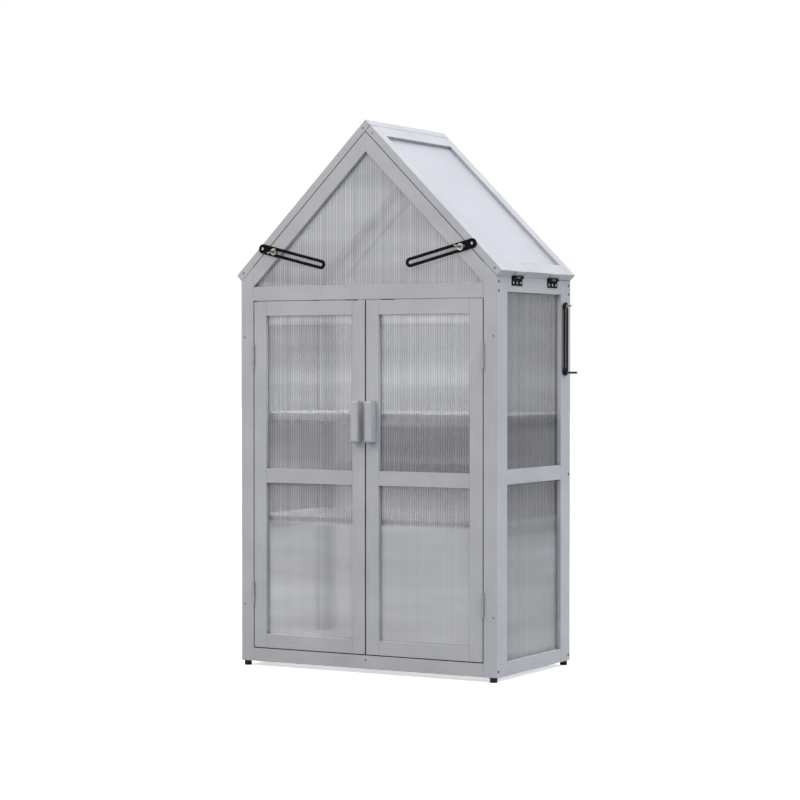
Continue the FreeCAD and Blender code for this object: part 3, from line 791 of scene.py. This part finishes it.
# %% Roof screws
PLATE = 0.0015
HOLES = (-0.021, 0.0, 0.021)
FIXED_DROP = 0.0145
MOVING_RISE = 0.0125
LEAF_ENDS = {"left": (0.019, 0.546), "right": (0.019, 0.526)}
LEAF_DEPTH = 0.010
STAY_PIVOT = (0.315996, -0.208, 1.119146)
for side, way in (("left", -1), ("right", 1)):
    up = Vector((-way * diagonal, 0, diagonal))
    out = Vector((way * diagonal, 0, diagonal))
    corner = Vector((way * half, 0, EAVE))
    fixed, moving, leaf = [], [], []
    for low, high in solid_boxes(side + "_roof_hinge_leaves"):
        for step in HOLES:
            y = Vector((0, (low.y + high.y) / 2 + step, 0))
            fixed.append((corner + y + Vector((way * PLATE, 0, -FIXED_DROP)), (way, 0, 0)))
            moving.append((corner + y + out * MOVING_RISE - up * PLATE, -up))
    for reach in LEAF_ENDS[side]:
        at = corner + up * reach + out * LEAF_DEPTH
        leaf.append(((at.x, front, at.z), (0, -1, 0)))
        leaf.append(((at.x, back, at.z), (0, 1, 0)))
    pivot = (way * STAY_PIVOT[0], STAY_PIVOT[1], STAY_PIVOT[2])
    screws(side + "_hinge_fixed_screws", "frame", fixed, zinc, 0.0032)
    screws(side + "_hinge_moving_screws", side + "_roof_leaf", moving, painted_screw, 0.0032)
    screws(side + "_leaf_screws", side + "_roof_leaf", leaf, painted_screw)
    screws(side + "_pivot_screw", side + "_front_stay", [(pivot, (0, -1, 0))], zinc, 0.0036, 0.0010)

# %% [markdown]
# ## Studio
# The object stands on a pale floor in a white room. The world and the floor give an even, plain light, a little
# stronger from above and from the right. Camera, mirror and glass rays see both as white, and the floor keeps a part
# of its real light so that the shadow stays. Behind a sheet the room shows as grey as it is: a white ground there
# would bleach the sheets and fill them with noise. The Transparent Depth of a ray tells how many films it has passed.

# %% Kinds of rays
def seen_directly(tree):
    """1 for camera, mirror and glass rays."""
    path = tree.nodes.new("ShaderNodeLightPath").outputs
    first = calc(tree, "MAXIMUM", path["Is Camera Ray"], path["Is Glossy Ray"])
    return calc(tree, "MAXIMUM", first, path["Is Transmission Ray"])


def past_no_film(tree):
    """1 for rays that have passed no sheet."""
    depth = tree.nodes.new("ShaderNodeLightPath").outputs["Transparent Depth"]
    return calc(tree, "LESS_THAN", depth, 0.5)


print("ray helpers ready")

# %% World
world = bpy.data.worlds.new("studio")
bpy.context.scene.world = world
world.use_nodes = True
tree = world.node_tree
way = tree.nodes.new("ShaderNodeTexCoord").outputs["Generated"]
from_above = rescale(tree, part_of(tree, way, "Z"), 0.0, 1.0, 0.56, 1.10)
from_right = rescale(tree, part_of(tree, way, "X"), -1.0, 1.0, 0.0, 0.56)
ambient = tree.nodes["Background"]
ambient.inputs["Color"].default_value = (0.96, 0.975, 1.0, 1.0)
tree.links.new(calc(tree, "ADD", from_above, from_right), ambient.inputs["Strength"])
white = add(tree, "ShaderNodeBackground", Color=(1.0, 1.0, 1.0, 1.0), Strength=1.0)
bare = calc(tree, "MULTIPLY", seen_directly(tree), past_no_film(tree))
both = mix_shaders(tree, bare, ambient, white)
tree.links.new(both.outputs["Shader"], tree.nodes["World Output"].inputs["Surface"])
print("world ready")

# %% [markdown]
# The floor is one wide grid.

# %% Floor
floor_mesh = bpy.data.meshes.new("floor")
bm = bmesh.new()
bmesh.ops.create_grid(bm, x_segments=1, y_segments=1, size=30.0)
bm.to_mesh(floor_mesh)
bm.free()
floor = bpy.data.objects.new("floor", floor_mesh)
bpy.context.collection.objects.link(floor)
mat, tree, shader = new_finish("floor", (0.8, 0.8, 0.8), 0.9)
glow = add(tree, "ShaderNodeEmission", Strength=0.6)
lit = add(tree, "ShaderNodeAddShader", {0: shader.outputs["BSDF"], 1: glow.outputs["Emission"]})
seen = mix_shaders(tree, past_no_film(tree), glow, lit)
bounce = add(tree, "ShaderNodeBsdfDiffuse", Color=(0.205, 0.225, 0.28, 1.0))
both = mix_shaders(tree, seen_directly(tree), bounce, seen)
tree.links.new(both.outputs["Shader"], tree.nodes["Material Output"].inputs["Surface"])
floor_mesh.materials.append(mat)
print("floor ready")

# %% [markdown]
# A broad lamp overhead brightens the roof, a soft warm one fills the front, and a third one lights the back for the
# views from behind. They are large disks, because a small lamp would draw hard shadows of the boards inside the
# cabinet.

# %% Lamps
def lamp(name, position, target, size, power, color):
    data = bpy.data.lights.new(name, "AREA")
    data.shape = "DISK"
    data.size = size
    data.energy = power
    data.color = color
    obj = bpy.data.objects.new(name, data)
    obj.location = position
    obj.rotation_euler = (Vector(target) - Vector(position)).to_track_quat("-Z", "Y").to_euler()
    bpy.context.collection.objects.link(obj)
    print("lamp", name, power, "W")


lamp("overhead", (1.4, -0.4, 4.4), (0.1, 0, 1.0), 2.6, 84, (0.84, 0.92, 1.0))
lamp("front_fill", (-1.5, -2.7, 2.9), (0, 0, 0.95), 2.0, 37, (1.0, 0.905, 0.76))
lamp("back_fill", (-3.0, 2.4, 1.8), (0, 0, 0.8), 2.5, 75, (1.0, 1.0, 1.0))

# %% [markdown]
# ## Camera
# The camera stands about 29 degrees to the right of the front, almost level, with a long lens.

# %% Camera
azimuth, tilt = math.radians(29.446), math.radians(0.883)
backwards = Vector((math.sin(azimuth) * math.cos(tilt), -math.cos(azimuth) * math.cos(tilt), math.sin(tilt)))
data = bpy.data.cameras.new("camera")
data.sensor_width = 36.0
data.lens = 106.84
camera = bpy.data.objects.new("camera", data)
camera.location = (3.1305, -5.5649, 0.8128)
camera.rotation_euler = backwards.to_track_quat("Z", "Y").to_euler()
bpy.context.collection.objects.link(camera)
bpy.context.scene.camera = camera
bpy.context.scene.view_settings.view_transform = "Standard"
print("camera at", tuple(camera.location))
